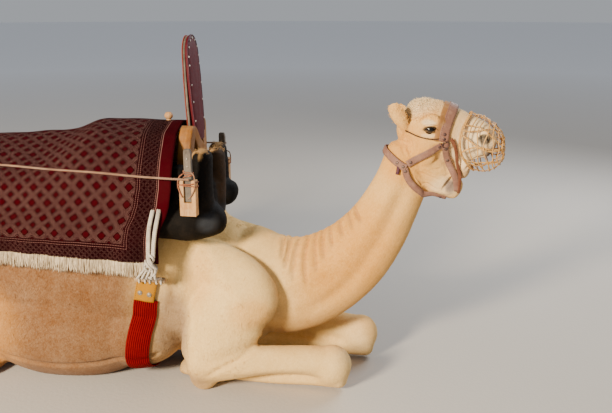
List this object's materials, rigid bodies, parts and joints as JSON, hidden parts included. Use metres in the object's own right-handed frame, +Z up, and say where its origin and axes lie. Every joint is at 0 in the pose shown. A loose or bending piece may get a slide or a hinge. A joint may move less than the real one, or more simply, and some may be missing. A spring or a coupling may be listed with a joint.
{
  "type": "resting camel in riding gear",
  "caption": "Life-size still model of a dromedary camel lying with folded legs and raised head, in a riding saddle, patterned rug, girth, halter and cane muzzle basket.",
  "frame": {"origin": "middle of the bottom of the whole box, on the floor under the chest", "axes": "+X towards the head, +Y to the camel's left, +Z up"},
  "size_m": [2.7185, 0.8671, 1.4538],
  "materials": {
    "coat": "short sandy fur",
    "eye": "dark moist eye",
    "rug": "woven wool, dark red with a pale lattice",
    "fringe": "undyed wool fringe",
    "pad": "stuffed dark cloth",
    "wood": "plain pine",
    "yellow_wood": "yellow worn wood",
    "grey_wood": "weathered grey wood",
    "red_leather": "red worn leather",
    "halter": "mauve-brown worn leather",
    "cane": "split cane",
    "cord": "twisted pale cord",
    "girth": "ribbed red webbing",
    "yellow_leather": "yellow leather with rivets"
  },
  "bodies": {
    "root": {"block_left": "wood", "block_right": "wood", "brow_cord_left": "halter", "brow_cord_right": "halter", "cheek_strap_left": "halter", "cheek_strap_right": "halter", "cords_left": "cord", "cords_right": "cord", "crown_strap": "halter", "ear_left": "coat", "ear_right": "coat", "eye_left": "eye", "eye_right": "eye", "foreleg_left": "coat", "foreleg_right": "coat", "fringe_left": "fringe", "fringe_right": "fringe", "front_paddle": "red_leather", "front_strap_left": "halter", "front_strap_right": "halter", "front_yoke": "yellow_wood", "girth": "girth", "head": "coat", "hindleg_left": "coat", "hindleg_right": "coat", "jaw_strap_left": "halter", "jaw_strap_right": "halter", "muzzle_basket": "cane", "neck": "coat", "noseband": "halter", "pad_left": "pad", "pad_right": "pad", "post_left": "grey_wood", "post_right": "grey_wood", "rear_paddle": "red_leather", "rear_yoke": "yellow_wood", "rug": "rug", "seat_board_front": "wood", "seat_board_rear": "wood", "side_rope_left": "cord", "side_rope_right": "cord", "tab_left": "yellow_leather", "tab_right": "yellow_leather", "tail": "coat", "toggle_left": "wood", "toggle_right": "wood", "trunk": "coat"}
  },
  "joints": []
}
